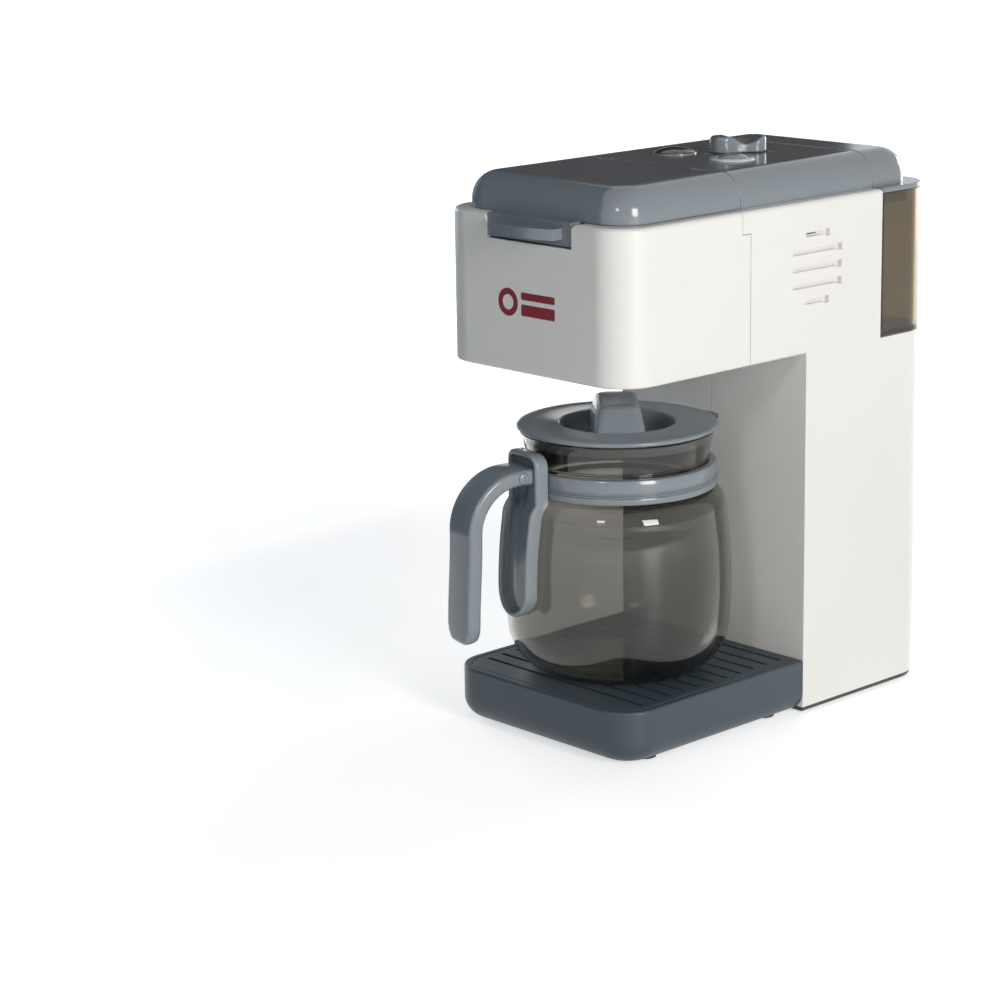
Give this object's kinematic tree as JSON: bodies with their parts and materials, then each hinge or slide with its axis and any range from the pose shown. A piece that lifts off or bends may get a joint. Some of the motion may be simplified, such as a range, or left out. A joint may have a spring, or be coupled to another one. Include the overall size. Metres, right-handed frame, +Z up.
{
  "type": "toy coffee maker",
  "caption": "Toy drip coffee maker: white C-shaped body with hinged top lids, knob and buttons, smoked water tank, slotted drip tray and a smoked jug with a hooked handle.",
  "frame": {"origin": "on the table, under the middle of the whole outline with the jug in place", "axes": "+Z up, the front with the jug's handle faces -Y, +X is the right-hand side seen from behind the front"},
  "size_m": [0.105, 0.2155, 0.2381],
  "materials": {
    "white_abs": "moulded, semi-gloss",
    "grey_abs": "moulded, gloss",
    "tray_grey_abs": "moulded, satin",
    "dark_abs": "moulded, gloss",
    "foot_abs": "moulded, satin",
    "smoke_tank": "clear, tinted",
    "smoke_jug": "clear, tinted",
    "clear_ring": "clear",
    "clear_led": "clear",
    "coffee_brown": "grained",
    "silicone_hose": "clear, soft",
    "pump_black": "moulded, satin",
    "switch_black": "moulded, satin",
    "board_green": "varnished",
    "zinc_steel": "zinc plated",
    "battery_sleeve": "printed sleeve",
    "foot_rubber": "matte"
  },
  "bodies": {
    "machine": {"front_shell": "white_abs", "housing_left": "white_abs", "housing_right": "white_abs", "control_panel": "grey_abs", "front_lid_pins": "zinc_steel", "tank_lid_pins": "zinc_steel", "water_tank": "smoke_tank", "hopper_tray": "white_abs", "coffee_bed": "coffee_brown", "outlet_nozzle": "grey_abs", "pump_motor": "pump_black", "inlet_tube": "silicone_hose", "outlet_tube": "silicone_hose", "lamp_ring": "clear_ring", "circuit_board": "board_green", "button_switches": "switch_black", "knob_switch": "switch_black", "led_lamp": "clear_led", "board_screws": "zinc_steel", "base_tray": "tray_grey_abs", "drip_grille": "tray_grey_abs", "bottom_plate": "foot_abs", "battery_door": "foot_abs", "door_screw": "zinc_steel", "batteries": "battery_sleeve", "battery_contacts": "zinc_steel", "speaker": "pump_black", "housing_screws": "zinc_steel", "rubber_feet": "foot_rubber"},
    "front_lid": {"front_lid": "grey_abs"},
    "tank_lid": {"tank_lid": "grey_abs"},
    "brew_button": {"brew_button": "dark_abs", "brew_plunger": "switch_black"},
    "light_button": {"light_button": "grey_abs", "light_plunger": "switch_black"},
    "selector_knob": {"selector_knob": "grey_abs", "knob_shaft": "switch_black"},
    "carafe": {"carafe_jug": "smoke_jug", "carafe_band": "grey_abs", "carafe_strap": "grey_abs", "carafe_handle": "grey_abs", "handle_pin": "grey_abs"},
    "carafe_lid": {"carafe_lid": "grey_abs"}
  },
  "joints": [
    {"name": "front_lid_hinge", "type": "hinge", "parent": "machine", "child": "front_lid", "pos_m": [0, -0.00995, 0.2292], "axis": [-1, 0, 0], "range_deg": [0, 75]},
    {"name": "tank_lid_hinge", "type": "hinge", "parent": "machine", "child": "tank_lid", "pos_m": [0, 0.07455, 0.2292], "axis": [1, 0, 0], "range_deg": [0, 75]},
    {"name": "brew_press", "type": "slide", "parent": "machine", "child": "brew_button", "axis": [0, 0, -1], "range_m": [0, 0.0012], "stiffness_N_per_m": 300, "springref_m": -0.0004},
    {"name": "light_press", "type": "slide", "parent": "machine", "child": "light_button", "axis": [0, 0, -1], "range_m": [0, 0.0012], "stiffness_N_per_m": 300, "springref_m": -0.0004},
    {"name": "selector_turn", "type": "hinge", "parent": "machine", "child": "selector_knob", "pos_m": [0.002, 0.0398, 0.2311], "axis": [0, 0, 1], "range_deg": [-30, 90]},
    {"name": "carafe_slide", "type": "slide", "parent": "machine", "child": "carafe", "axis": [0, -1, 0], "range_m": [0, 0.11]},
    {"name": "carafe_lid_turn", "type": "hinge", "parent": "carafe", "child": "carafe_lid", "pos_m": [0, -0.0304, 0.1255], "axis": [0, 0, 1], "range_deg": [0, 60]}
  ]
}
